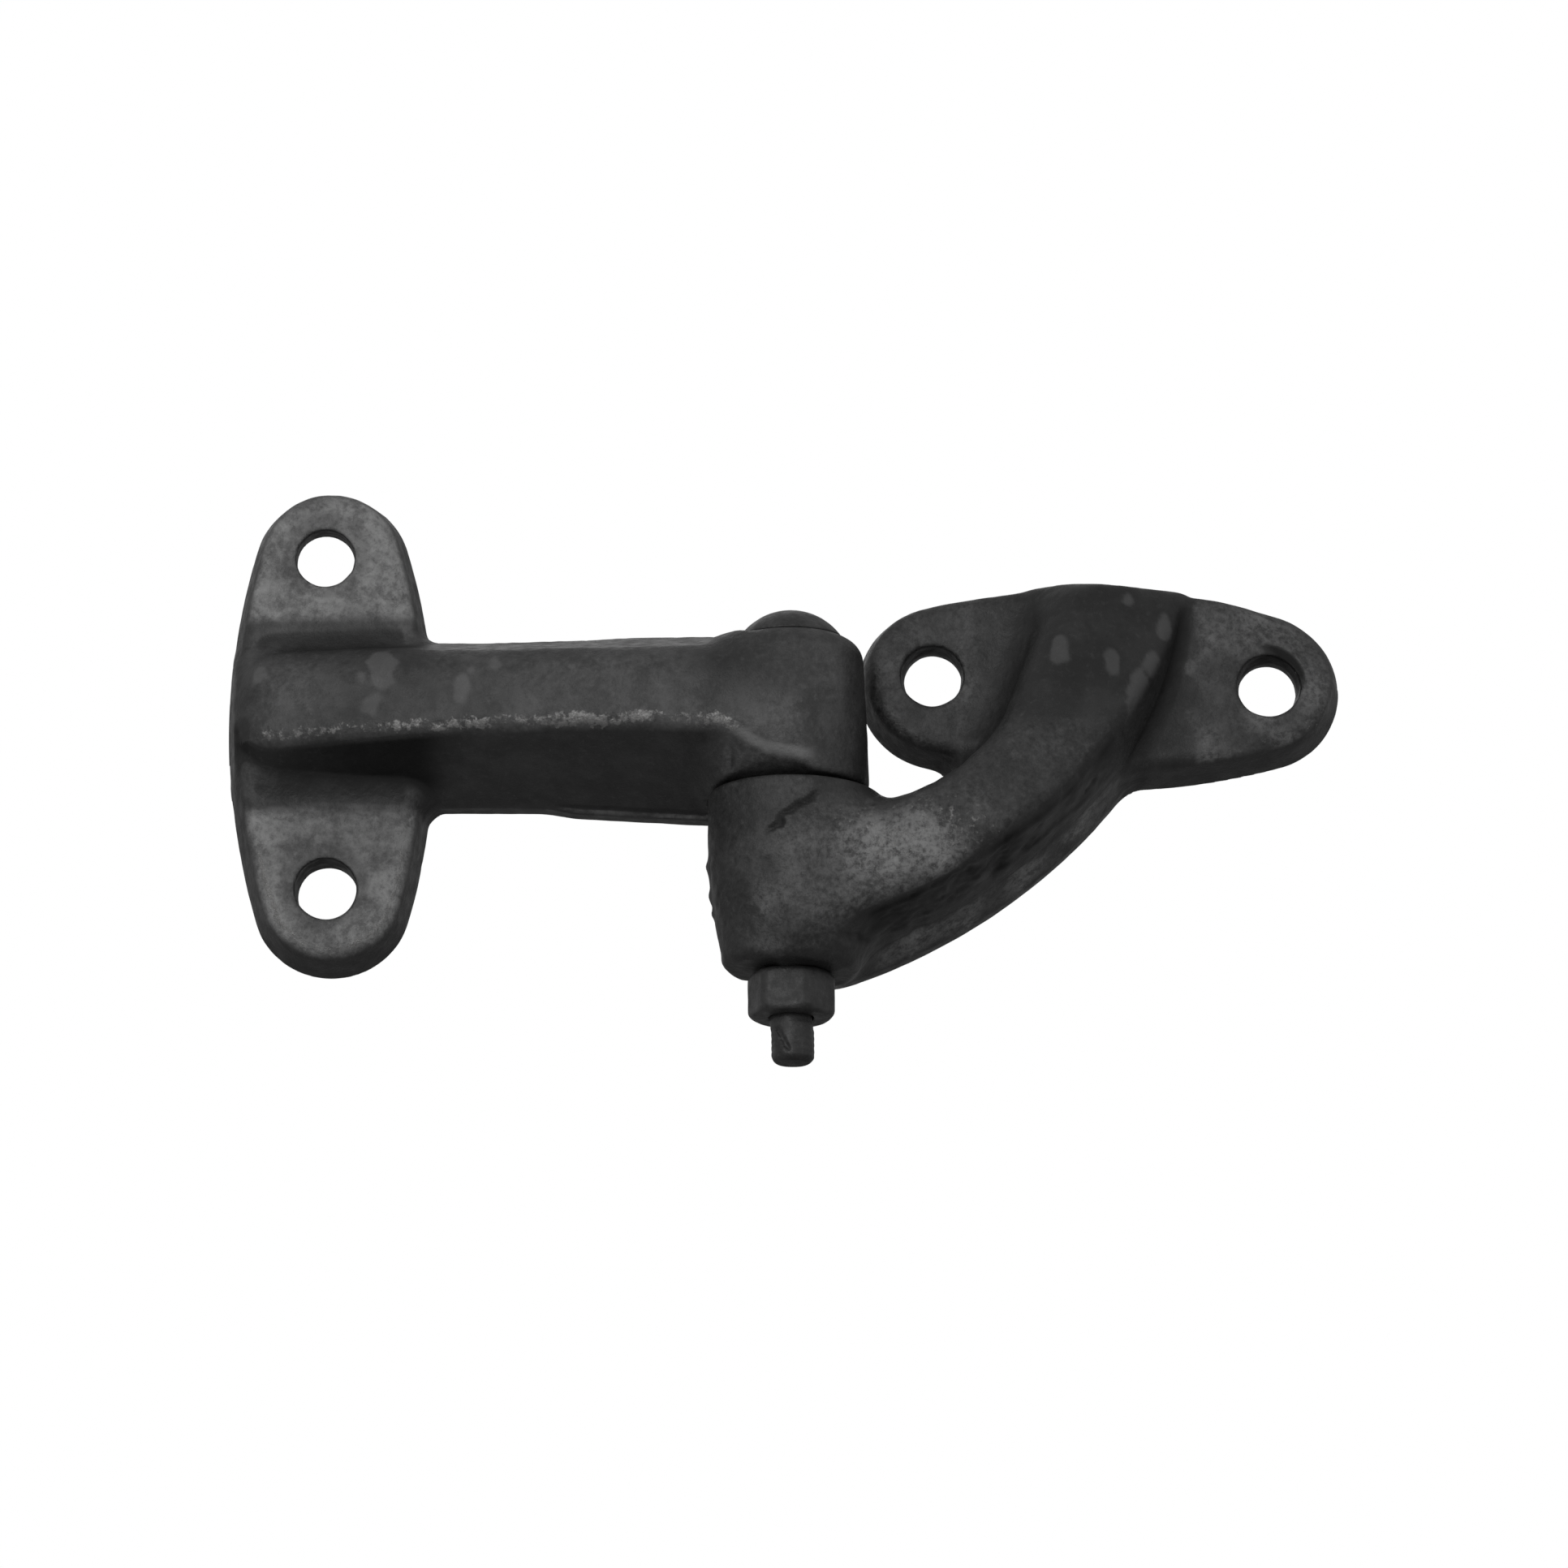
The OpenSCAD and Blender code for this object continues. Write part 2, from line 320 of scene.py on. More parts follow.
def hole_wall(p, centre_x, centre_z, pitch_x, pitch_z):
    """1 on the walls of a leaf's two fixing holes, just inside their front rims."""
    x, depth, z = p[..., 0] - centre_x, -p[..., 1], p[..., 2] - centre_z
    axis = np.minimum(np.hypot(x - pitch_x, z - pitch_z), np.hypot(x + pitch_x, z + pitch_z))
    return step(HOLE_R + 1.6, HOLE_R + 0.8, axis) * step(PLATE_T - 0.2, PLATE_T - 1.2, depth)


# ---------------------------------------------------------------- T leaf

T_PLATE_X = 1.3
T_PLATE_Z = -0.9
T_END_R = 17.9
T_HALF_W = 23.4
T_LEAN = 0.004  # sideways, per mm of height
T_HALF = T_HALF_PITCH - 0.1
T_ARM_Z = 1.0
T_ARM_LAND = 5.0  # depth over which the arm keeps its full height
T_ARM_SLOPE = 0.34  # of the arm's upper and lower sides, per mm of depth
T_LEFT_DRAFT = 0.12
T_CROWN_R = 450.0
T_FRONT = PIVOT_DEPTH + UPPER_R

# The arm's reach above and below its middle line at its back and front, what it gains towards
# the knuckle, and what the top of its front gains towards the plate
UP_BACK = 18.9
UP_BACK_GAIN = 1.7
UP_FRONT = 9.0
UP_FRONT_GAIN = 1.6
DOWN_BACK = 19.95
DOWN_BACK_GAIN = 2.0
DOWN_FRONT = 8.0
DOWN_FRONT_GAIN = 0.9
LEDGE_H = 0.9  # lip along the arm's lower back edge
HEAD_DIP = 5.5  # fall of the arm's top as it nears the pivot

# Crest of the arm's underside across the knuckle: where it starts and how fast it falls
CREST_X = 84
CREST_Z = -8.8
CREST_FALL = 0.22
CREST_BEND_X = 106
CREST_BEND_FALL = 0.6
UNDER_SLOPE = 0.9
UNDER_SCALE = 0.72  # brings the sloping underside's value back to a true distance

# Rims and fillets
ARM_LOW_RIM_R = 3.2
ARM_TOP_RIM_R = 7.0
ARM_LEFT_RIM_R = 9.0
ARM_END_RIM_R = 2.5
UPPER_TOP_RIM_R = 5.6
LOW_RIM_R = 2.0
UNDER_RIM_R = 2.6
PLATE_FILLET = 3.6
KNUCKLE_FILLET = 7.0
OUTLINE_RIM_R = 0.4
CROWN_RIM_R = 1.5
CUT_RIM_R = 0.8
BORE_RIM_R = 0.5

# What the upper knuckle's radius loses and over what height, and the square pocket's depth
UPPER_TAPER = 1.6
UPPER_TAPER_H = 30
POCKET_DEPTH = 5.5


def t_plate_side(x, depth, z):
    """Distance to the upright oval plate's drafted side."""
    outline = oval(z - T_PLATE_Z, x - T_PLATE_X + T_LEAN * z, T_HALF, T_END_R, T_HALF_W)
    return (outline + PLATE_DRAFT * depth) * SIDE_SCALE


def t_plate(x, depth, z):
    """Upright oval plate with drafted sides."""
    body = round_and(t_plate_side(x, depth, z), depth - PLATE_T, PLATE_RIM_R)
    return round_and(body, -depth, BACK_RIM_R)


def arm_half_height(x, depth, back, front):
    """Half height of the arm: level over a land at the back, then narrowing to its front."""
    drop = (back - front) / (t_front(x) - T_ARM_LAND)
    return back - drop * np.maximum(depth - T_ARM_LAND, 0)


def t_arm_bottom(x, depth):
    """How far the arm reaches below its middle line."""
    back = DOWN_BACK + DOWN_BACK_GAIN * step(45, 95, x)
    front = DOWN_FRONT + DOWN_FRONT_GAIN * step(60, 95, x)
    return arm_half_height(x, depth, back, front)


def t_arm_top(x, depth):
    """How far the arm reaches above its middle line."""
    back = UP_BACK + UP_BACK_GAIN * step(25, 90, x)
    front = UP_FRONT + UP_FRONT_GAIN * step(60, 10, x)
    return arm_half_height(x, depth, back, front)


def t_arm(x, depth, z):
    """Thick arm with drafted sides and a crowned front, rounded off at the plate's far edge."""
    scale = 1 / math.hypot(1, T_ARM_SLOPE)
    dip = HEAD_DIP * step(PIVOT_X - 13, PIVOT_X - 3, x)
    top = (z - T_ARM_Z - t_arm_top(x, depth) + dip) * scale
    ledge = LEDGE_H * step(6.0, 4.6, depth) * step(48, 58, x)
    bottom = (T_ARM_Z - z - t_arm_bottom(x, depth) - ledge) * scale
    body = round_and(t_crown(x, depth), bottom, ARM_LOW_RIM_R)
    body = round_and(body, top, ARM_TOP_RIM_R)
    body = round_and(body, t_left(x, depth, z), ARM_LEFT_RIM_R)
    body = round_and(body, -depth, BACK_RIM_R)
    return round_and(body, x - PIVOT_X - 1, ARM_END_RIM_R)


def t_front(x):
    """Depth of the arm's crowned front."""
    return T_FRONT - T_CROWN_R + np.sqrt(T_CROWN_R ** 2 - (x - PIVOT_X) ** 2)


def t_crown(x, depth):
    """Front of the arm, which thins towards the plate."""
    return np.hypot(x - PIVOT_X, depth - T_FRONT + T_CROWN_R) - T_CROWN_R


def t_left(x, depth, z):
    """The plate's drafted long arc on the side away from the pivot."""
    arc_r = (T_HALF ** 2 + T_HALF_W ** 2 - T_END_R ** 2) / (2 * (T_HALF_W - T_END_R))
    across = x - T_PLATE_X + T_LEAN * z
    return np.hypot(across - arc_r + T_HALF_W, z - T_PLATE_Z) - arc_r + T_LEFT_DRAFT * depth


def under_knuckle(x, depth, z):
    """The arm's underside where it carries on across the knuckle's lower front and fades out."""
    crest = CREST_Z - CREST_FALL * (x - CREST_X) - CREST_BEND_FALL * np.maximum(x - CREST_BEND_X, 0)
    fade = 60 * step(92, 78, x)
    return (crest - UNDER_SLOPE * (T_FRONT - depth) - z - fade) * UNDER_SCALE


def upper_knuckle(p):
    """Drafted knuckle with a well rounded top rim."""
    z = p[..., 2]
    radius = UPPER_R - UPPER_TAPER * np.clip((z - UPPER_BOTTOM) / UPPER_TAPER_H, 0, 1)
    body = round_and(from_pivot(p) - radius, z - KNUCKLE_TOP, UPPER_TOP_RIM_R)
    return round_and(body, UPPER_BOTTOM - z, LOW_RIM_R)


def t_leaf_field(p):
    """The whole T leaf: plate, arm and knuckle, less the swing's room, holes, pocket and bore."""
    x, depth, z = p[..., 0], -p[..., 1], p[..., 2]
    body = round_or(t_plate(x, depth, z), t_arm(x, depth, z), PLATE_FILLET)
    body = round_and(body, t_left(x, depth, z), OUTLINE_RIM_R)
    body = round_or(body, upper_knuckle(p), KNUCKLE_FILLET)
    body = np.maximum(body, -depth)
    axis = from_pivot(p)
    body = round_and(body, np.where(x < PIVOT_X, t_crown(x, depth), axis - UPPER_R), CROWN_RIM_R)
    body = round_and(body, under_knuckle(x, depth, z), UNDER_RIM_R)
    below = np.maximum(axis - SWING_R - BACK_ROOM * step(8, 4, depth), z - UPPER_BOTTOM)
    body = round_and(body, -below, CUT_RIM_R)
    head_seat = np.maximum(axis - HEAD_R - 0.4, KNUCKLE_TOP - z)
    body = np.maximum(body, -head_seat)
    for side, *shape in T_HOLES:
        body = round_and(body, cast_hole(x, depth, z - side * T_HALF_PITCH, *shape), HOLE_RIM_R)
    square = np.maximum(np.abs(x - PIVOT_X), np.abs(depth - PIVOT_DEPTH)) - SHANK_R - 0.2
    pocket = np.maximum(square, KNUCKLE_TOP - POCKET_DEPTH - z)
    return round_and(np.maximum(body, -pocket), BORE_R - axis, BORE_RIM_R)


# ---------------------------------------------------------------- offset leaf

FLANGE_NEAR_R = 19.2
FLANGE_FAR_R = 18.4
FLANGE_NEAR = 35.7
FLANGE_FAR = OFFSET_HIGH[0] + 0.8 - FLANGE_FAR_R - FLANGE_X
FLANGE_HALF_H = 23.6
FLANGE_LEAN = 0.013  # downwards, per mm to the right
ARM_ARC_X = PIVOT_X - 30
ARM_ARC_Z = 66.0
ARM_ARC_R = 132.6
RIB_RIGHT = FLANGE_X + 20.2
OFFSET_CROWN_R = 205.0
OFFSET_FRONT = PIVOT_DEPTH + LOWER_R
KNUCKLE_MID = (LOWER_TOP + LOWER_BOTTOM) / 2

# Lower side of the arm: a lip that sets back over a run of depth, then a plain draft. Both lose
# the second amount as the arm climbs.
LIP_DEPTH = 4
LIP_RUN = 9
LIP_SET_BACK = (2.9, 1.9)
LOWER_DRAFT = (0.13, 0.10)

# Left side of the rib: the direction it faces in x and z, and a point on it
LEFT_FACE = (0.937, -0.348)
LEFT_X = FLANGE_X - 24.5
LEFT_Z = FLANGE_Z - 13

# Drafts per mm of depth, corners as seen from the front, rims, and the lower knuckle's taper
INNER_DRAFT = 0.10
UPPER_DRAFT = 0.17
OUTER_CORNER_R = 12.0
INNER_CORNER_R = 22.0
INNER_RIM_R = 10.0
UPPER_RIM_R = 3.5
LOWER_TAPER = 4.0
LOWER_TAPER_Z = -38
LOWER_TAPER_H = 23
LOWER_TOP_RIM_R = 1.6
FOOT_RIM_R = 1.8


def flange_outline(x, z):
    """Distance to the flange's outline on the mounting plane."""
    near = x < FLANGE_X
    end = np.where(near, FLANGE_NEAR, FLANGE_FAR)
    end_r = np.where(near, FLANGE_NEAR_R, FLANGE_FAR_R)
    return oval(x - FLANGE_X, z - FLANGE_Z + FLANGE_LEAN * (x - FLANGE_X), end, end_r, FLANGE_HALF_H)


def flange_side(x, depth, z):
    """Distance to the flange's drafted side."""
    return (flange_outline(x, z) + PLATE_DRAFT * depth) * SIDE_SCALE


def flange(x, depth, z):
    """Horizontal oval flange with drafted sides."""
    body = round_and(flange_side(x, depth, z), depth - PLATE_T, PLATE_RIM_R)
    return round_and(body, -depth, BACK_RIM_R)


def climb(x, z):
    """How far along the arm a place is, from the lower knuckle's middle up to the right."""
    return ((x - PIVOT_X) + (z - KNUCKLE_MID)) / math.sqrt(2)


def beyond_arc(x, z):
    """Distance outside the long arc that the arm's lower edge follows."""
    return np.hypot(x - ARM_ARC_X, z - ARM_ARC_Z) - ARM_ARC_R


def offset_arm(x, depth, z, outline):
    """Cranked arm that climbs from the lower knuckle and fades into a rib on the flange."""
    # 0 along the knuckle's end of the arm, 1 at the top of the rib
    rise = step(40, 105, climb(x, z))
    set_back, set_back_loss = LIP_SET_BACK
    draft, draft_loss = LOWER_DRAFT
    lower = beyond_arc(x, z)
    lower = lower + (set_back - set_back_loss * rise) * np.clip((depth - LIP_DEPTH) / LIP_RUN, 0, 1)
    lower = lower + (draft - draft_loss * rise) * np.maximum(depth - LIP_DEPTH - LIP_RUN, 0)
    # The rib's right side lies back more the lower down it is
    spread = np.clip(0.25 + 0.016 * (28 - z), 0.2, 0.9)
    right = (x - RIB_RIGHT + spread * np.maximum(depth - 10, 0)) / np.hypot(1, spread)
    outer = round_and(lower, right, OUTER_CORNER_R)
    left = (x - LEFT_X) * LEFT_FACE[0] + (z - LEFT_Z) * LEFT_FACE[1]
    open_corner = round_and(left, LOWER_TOP - 2.0 - z, INNER_CORNER_R)
    inner = -open_corner + INNER_DRAFT * depth
    body = round_and(outer, offset_crown(x, depth, z), 6.0 - 3.4 * rise)
    body = round_and(body, inner, INNER_RIM_R)
    body = round_and(body, upper_outline(z, outline, depth), UPPER_RIM_R)
    body = round_and(body, -depth, BACK_RIM_R)
    body = round_and(body, LOWER_BOTTOM + 0.3 - z, LOW_RIM_R)
    return np.maximum(body, PIVOT_X + 2 - x)


def offset_crown(x, depth, z):
    """Front of the arm: level at the knuckle, then falling back as it climbs."""
    fall = np.maximum(climb(x, z) - 15, 0)
    return np.hypot(fall, depth - OFFSET_FRONT + OFFSET_CROWN_R) - OFFSET_CROWN_R


def upper_outline(z, outline, depth):
    """Upper edge of the flange, which also ends the rib."""
    return np.where(z > FLANGE_Z, outline + UPPER_DRAFT * depth, -50.0)


def lower_knuckle(p):
    """Knuckle that is straight for its top half and tapers below."""
    z = p[..., 2]
    radius = LOWER_R - LOWER_TAPER * np.clip((LOWER_TAPER_Z - z) / LOWER_TAPER_H, 0, 1)
    body = round_and(from_pivot(p) - radius, z - LOWER_TOP, LOWER_TOP_RIM_R)
    back_lift = 0.4 * np.maximum(10 + p[..., 1], 0)
    left_lift = 0.12 * np.maximum(PIVOT_X - 5 - p[..., 0], 0)
    return round_and(body, LOWER_BOTTOM + back_lift + left_lift - z, FOOT_RIM_R)


def offset_leaf_field(p):
    """The whole offset leaf: flange, arm and knuckle, less the swing's room, holes and bore."""
    x, depth, z = p[..., 0], -p[..., 1], p[..., 2]
    outline = flange_outline(x, z)
    fillet = 3.0 + 5.0 * step(RIB_RIGHT - 14, RIB_RIGHT - 30, x)
    body = round_or(flange(x, depth, z), offset_arm(x, depth, z, outline), fillet)
    body = round_and(body, upper_outline(z, outline, depth), OUTLINE_RIM_R)
    body = round_or(body, lower_knuckle(p), KNUCKLE_FILLET)
    body = np.maximum(body, -depth)
    axis = from_pivot(p)
    front = np.where(x > PIVOT_X, offset_crown(x, depth, z), axis - LOWER_R)
    body = round_and(body, front, CROWN_RIM_R)
    above = np.maximum(axis - SWING_R, LOWER_TOP - z)
    body = round_and(body, -above, CUT_RIM_R)
    for side, *shape in FLANGE_HOLES:
        hole_x = x - FLANGE_X - side * FLANGE_HALF_PITCH
        body = round_and(body, cast_hole(hole_x, depth, z - FLANGE_Z, *shape), HOLE_RIM_R)
    return round_and(body, BORE_R - axis, BORE_RIM_R)


# ---------------------------------------------------------------- bolt and nut

SHOULDER_Z = NUT_HIGH[2]
NECK_H = 5
LAP = 1  # how far the bolt's sections run into each other
END_BEND = 0.45
END_RIM_R = 1.8
THREAD_PITCH = 1.5
THREAD_WEAR = 0.2
THREAD_TRACE = 0.04
NICK_Z = -77.5  # middle of the slanting nick in the front of the threaded end
NICK_DEPTH = 0.55
NUT_SHIFT = 0.15
NUT_EDGE_R = 1.4


def bolt_field(p):
    """Dome head, square neck, plain shank, and a threaded end whose thread the paint half fills."""
    x, y, z = p[..., 0] - PIVOT_X, p[..., 1] - PIVOT_Y, p[..., 2]
    axis = np.hypot(x, y)
    dome_r = (HEAD_R ** 2 + HEAD_H ** 2) / (2 * HEAD_H)
    dome = np.sqrt(axis ** 2 + (z - BOLT_HIGH[2] + dome_r) ** 2) - dome_r
    head = round_and(dome, KNUCKLE_TOP - z, 0.6)
    neck = np.maximum(np.abs(x), np.abs(y)) - SHANK_R
    neck = np.maximum(neck, np.maximum(z - KNUCKLE_TOP - LAP, KNUCKLE_TOP - NECK_H - z))
    shank = round_and(axis - SHANK_R, np.maximum(SHOULDER_Z - z, z - KNUCKLE_TOP - LAP), 0.2)
    bent = END_BEND * step(NUT_LOW[2], NUT_LOW[2] - 4, z)
    turn = z / THREAD_PITCH - np.arctan2(y, x) / (2 * math.pi)
    nick = step(0.75, 0.25, np.abs(x + 1.7 + 0.48 * (z - NICK_Z)))
    nick = nick * step(3.2, 2.2, np.abs(z - NICK_Z)) * step(0, -2, y)
    thread_r = THREAD_R - THREAD_WEAR + THREAD_TRACE * np.cos(2 * math.pi * turn) - NICK_DEPTH * nick
    thread = round_and(np.hypot(x - bent, y) - thread_r, BOLT_LOW[2] - z, END_RIM_R)
    thread = np.maximum(thread, z - SHOULDER_Z - LAP)
    return np.minimum(np.minimum(head, neck), np.minimum(shank, thread))


def nut_field(p):
    """Hexagon with both faces chamfered and its edges softened by paint."""
    x, y, z = p[..., 0] - PIVOT_X - NUT_SHIFT, p[..., 1] - PIVOT_Y, p[..., 2]
    body = np.full(x.shape, -1e3)
    for flat in range(3):
        angle = math.radians(90 - NUT_TURN + 60 * flat)
        side = np.abs(x * math.cos(angle) + y * math.sin(angle)) - NUT_FLAT_R
        body = round_and(body, side, NUT_EDGE_R)
    axis = np.hypot(x, y)
    middle = (NUT_LOW[2] + NUT_HIGH[2]) / 2
    ends = np.abs(z - middle) - (NUT_HIGH[2] - NUT_LOW[2]) / 2
    cone = (axis - NUT_FLAT_R + 0.3) * 0.6 + ends * 0.8
    body = round_and(body, cone, 0.6)
    body = round_and(body, ends, 0.4)
    return round_and(body, THREAD_R + 0.05 - axis, 0.3)


# ---------------------------------------------------------------- relief, wear, painted highlights and painted shade

# How far from a bore or mating face the casting's relief is back at its full height
SMOOTH_REACH = 2.0


def away_from_fits(p):
    """0 at the bore, the mating faces and the back, rising to 1 a short way from them."""
    depth, z = -p[..., 1], p[..., 2]
    axis = from_pivot(p)
    bore = step(SHANK_R + 0.3, SHANK_R + SMOOTH_REACH, axis)
    seam = np.where(axis < KNUCKLE_R + 2.5, step(0.2, SMOOTH_REACH, np.abs(z - LOWER_TOP + 0.3)), 1)
    foot = np.where(axis < KNUCKLE_R, step(0.1, SMOOTH_REACH, z - LOWER_BOTTOM), 1)
    seat = np.where(axis < HEAD_R + 1.5, step(0.1, SMOOTH_REACH, np.abs(z - KNUCKLE_TOP)), 1)
    back = step(0.0, 1.2, depth)
    return bore * seam * foot * seat * back


# Knocks in the offset arm's lower edge as x, z, length and slope, and lumps on the knuckle's side
# as z and size
DINGS = ((143.5, -42.0, 5.0, 0.75), (151.5, -37.0, 3.5, 0.85),
         (119.5, -56.0, 4.0, 0.3), (134.0, -49.0, 3.0, 0.6))
LUMPS = ((-36.4, 1.3), (-43.5, 1.6), (-47.5, 1.1))
DING_DEPTH = 0.7
LUMP_H = 0.55

# Crack across the lower knuckle: its depth, a point on it, how it climbs to the right, and its ends
CRACK_DEPTH = 0.5
CRACK_X = 105.1
CRACK_Z = -28.9
CRACK_SLOPE = 0.65
CRACK_LEFT = 98.5
CRACK_RIGHT = 112.5
CRACK_FADE = 2.5


def dents(p):
    """Depth of the knocks at each point."""
    ragged = 0.5 * noise(p, 2.0, 31)
    total = 0
    for x, z, length, rise in DINGS:
        unit = math.hypot(1, rise)
        along = ((p[..., 0] - x) + rise * (p[..., 2] - z)) / unit
        across = ((p[..., 2] - z) - rise * (p[..., 0] - x)) / unit
        away = np.hypot(along / length, across / 1.3) + ragged * 0.5
        total = np.maximum(total, step(1.0, 0.3, away))
    return DING_DEPTH * total * step(10, 14, -p[..., 1])


def lumps(p):
    """Height of the small bumps on the lower knuckle's left side."""
    total = 0
    for z, size in LUMPS:
        away = np.hypot(p[..., 2] - z, p[..., 1] - PIVOT_Y) / size
        total = total + LUMP_H * np.exp(-away ** 2)
    return total * step(PIVOT_X - 14, PIVOT_X - 17, p[..., 0])


def crack(p):
    """Strength of the short slanting crack across the lower knuckle's front."""
    x, depth, z = p[..., 0], -p[..., 1], p[..., 2]
    away = np.abs(z - CRACK_Z - CRACK_SLOPE * (x - CRACK_X) - 1.5 * noise(p, 2.6, 11))
    ends = step(CRACK_LEFT, CRACK_LEFT + CRACK_FADE, x) * step(CRACK_RIGHT, CRACK_RIGHT - CRACK_FADE, x)
    return step(28, 33, depth) * ends * step(1.0, 0.2, away)


def t_leaf_skin(p):
    """Relief of the T leaf's casting."""
    return casting_skin(p, 0.8) * away_from_fits(p)


def offset_leaf_skin(p):
    """Relief of the offset leaf's casting, roughest low on its front, with its knocks and lumps."""
    depth, z = -p[..., 1], p[..., 2]
    rough = 0.8 + 1.1 * step(8, -8, z) * step(8, 20, depth)
    height = casting_skin(p, rough)
    height = height - CRACK_DEPTH * crack(p) - dents(p) + lumps(p)
    return height * away_from_fits(p)


def steel_skin(p):
    """Slight unevenness of the paint on the bolt's head, its end and the nut."""
    axis = from_pivot(p)
    outside = step(SHANK_R + 0.5, SHANK_R + 2.5, axis)
    below = step(NUT_LOW[2], NUT_LOW[2] - 2, p[..., 2])
    return (0.05 * noise(p, 5.0, 6) + 0.035 * noise(p, 1.6, 7)) * np.maximum(outside, below)


def low_edge(normals, curve):
    """1 on outer edges that turn down, just inside the edge."""
    turn = -normals[:, 2]
    return step(0.08, 0.22, curve) * step(0.03, 0.22, turn) * step(0.85, 0.55, turn)


def above_crest(p):
    """Height above the arm's lower front crest, which carries on across the knuckle."""
    x = p[..., 0]
    line = T_ARM_Z + 1.3 - t_arm_bottom(x, t_front(x))
    line = line - 0.6 * np.clip(x - PIVOT_X + 16, 0, 10.5) - 0.2 * np.maximum(x - PIVOT_X + 5.5, 0)
    return p[..., 2] - line


# How bare the T arm's crest is, as worn paint and painted highlight, and what it gains to the right,
# and how strong the painted highlight along the lower lobe's rim is
CREST_WEAR_AND_HIGHLIGHT = 0.80
CREST_WEAR_AND_HIGHLIGHT_GAIN = 0.16
LOBE_RIM_HIGHLIGHT = 0.82

# Middles of the offset arm's two patches in x and z: painted glints of bare metal, and the palest grey
GLINT_PATCH = (PIVOT_X + 28, -33)
PALE_PATCH = (132, -37)


def t_leaf_wear_and_highlight(p, normals, curve):
    """Worn paint and painted highlight on the arm's lower front crest; painted highlight on the lower
    lobe's rim.
    """
    x, depth, z = p[..., 0], -p[..., 1], p[..., 2]
    away = above_crest(p) - 0.9 * noise(p, 4.0, 12)
    # The crest is worn paint that also stands as the arm's painted highlight
    crest = step(3.2, 0.4, np.abs(away)) * step(12, 18, depth) * step(PIVOT_X - 3, PIVOT_X - 14, x)
    crest = crest * (CREST_WEAR_AND_HIGHLIGHT * step(-24, -12, x) + CREST_WEAR_AND_HIGHLIGHT_GAIN * step(30, 48, x))
    crest = crest * (0.9 + 0.3 * noise(p, 6.0, 14))
    side = t_plate_side(x, depth, z) + 1.7 + 0.5 * noise(p, 3.5, 15)
    # Painted highlight just inside the lower lobe's rim
    lobe = step(1.3, 0.3, np.abs(side)) * step(-24, -34, z) * step(7, 9, depth)
    lobe = lobe * (LOBE_RIM_HIGHLIGHT + 0.25 * noise(p, 6.0, 13))
    return np.maximum(crest * step(0.2, 0.6, -normals[:, 1]), lobe)


def offset_leaf_wear_and_highlight(p, normals, curve):
    """Painted highlight along the flange's lower rim, and painted glints of metal on the lower knuckle
    and arm.
    """
    x, depth, z = p[..., 0], -p[..., 1], p[..., 2]
    # Painted highlight just inside the flange's lower rim
    rim = low_edge(normals, curve) * step(5, 8, depth) * step(13, 10, depth) * 0.55
    facing = step(0.35, 0.85, -normals[..., 1])
    # Painted glints of bare metal on the lower knuckle and arm
    patch = step(30, 8, np.hypot((x - GLINT_PATCH[0]) * 0.8, (z - GLINT_PATCH[1]) * 1.6))
    return np.maximum(rim, 0.6 * facing * patch * step(20, 26, depth))


# Pale spots as x, z and size
T_SPOTS = ((13.0, 8.4, 4.6), (10.5, -0.3, 3.2), (8.5, 6.5, 1.8), (30.5, 3.0, 3.4),
           (33.0, 6.8, 1.8), (38.5, 8.5, 1.8), (-14.5, 9.0, 2.6))
OFFSET_SPOTS = ((166.0, 12.3, 3.2), (177.2, 10.0, 3.0), (186.8, 10.0, 3.2), (183.6, 3.6, 4.0),
                (182.6, -0.8, 3.0), (189.5, 20.0, 3.0), (181.0, 26.0, 1.6))


def t_leaf_thin(p, normals):
    """Pale spots of thinner paint on the arm; the smooth pale line across the knuckle's crest is a
    painted highlight.
    """
    x, depth = p[..., 0], -p[..., 1]
    # Painted highlight: a smooth pale line across the knuckle's lower crest
    line = step(2.0, 0.3, np.abs(above_crest(p) - 0.25 * noise(p, 5.0, 16)))
    line = line * step(PIVOT_X - 16, PIVOT_X - 8, x) * step(PIVOT_X + 7, PIVOT_X + 1, x)
    line = line * step(28, 32, depth)
    return np.maximum(line, 0.34 * spots(p, T_SPOTS)) * step(0.3, 0.7, -normals[:, 1])


def offset_leaf_thin(p, normals):
    """Pale spots of thinner paint on the rib; the pale line along the flange's lower front edge is a
    painted highlight.
    """
    x, depth, z = p[..., 0], -p[..., 1], p[..., 2]
    # Painted highlight along the flange's lower front edge
    edge = step(1.5, 0.3, np.abs(flange_side(x, depth, z) + 1.6)) * step(7, 9, depth) * step(-4, -9, z)
    edge = edge * np.maximum(step(RIB_RIGHT + 4, RIB_RIGHT + 8, x), step(150, 142, x))
    edge = edge * (0.30 + 0.25 * noise(p, 9.0, 17))
    return np.maximum(edge, 0.27 * spots(p, OFFSET_SPOTS)) * step(0.3, 0.7, -normals[:, 1])


def steel_thin(p, normals):
    """No thin paint on the bolt and nut."""
    return np.zeros(p.shape[:-1])


def steel_rub(p, normals, curve):
    """Paint thin on the bolt's and nut's sharper edges."""
    return 0.12 * step(0.3, 0.9, curve)


def spots(p, places):
    """Thin patches in the paint, each at an x, a z and a size."""
    ragged = 1.1 * noise(p, 2.8, 25) + 0.5 * noise(p, 1.2, 29)
    total = 0
    for x, z, size in places:
        away = np.hypot((p[..., 0] - x) * 1.25, (p[..., 2] - z) * 0.8) + ragged
        total = np.maximum(total, step(size, size - 1.2, away))
    return total * step(12, 16, -p[..., 1])


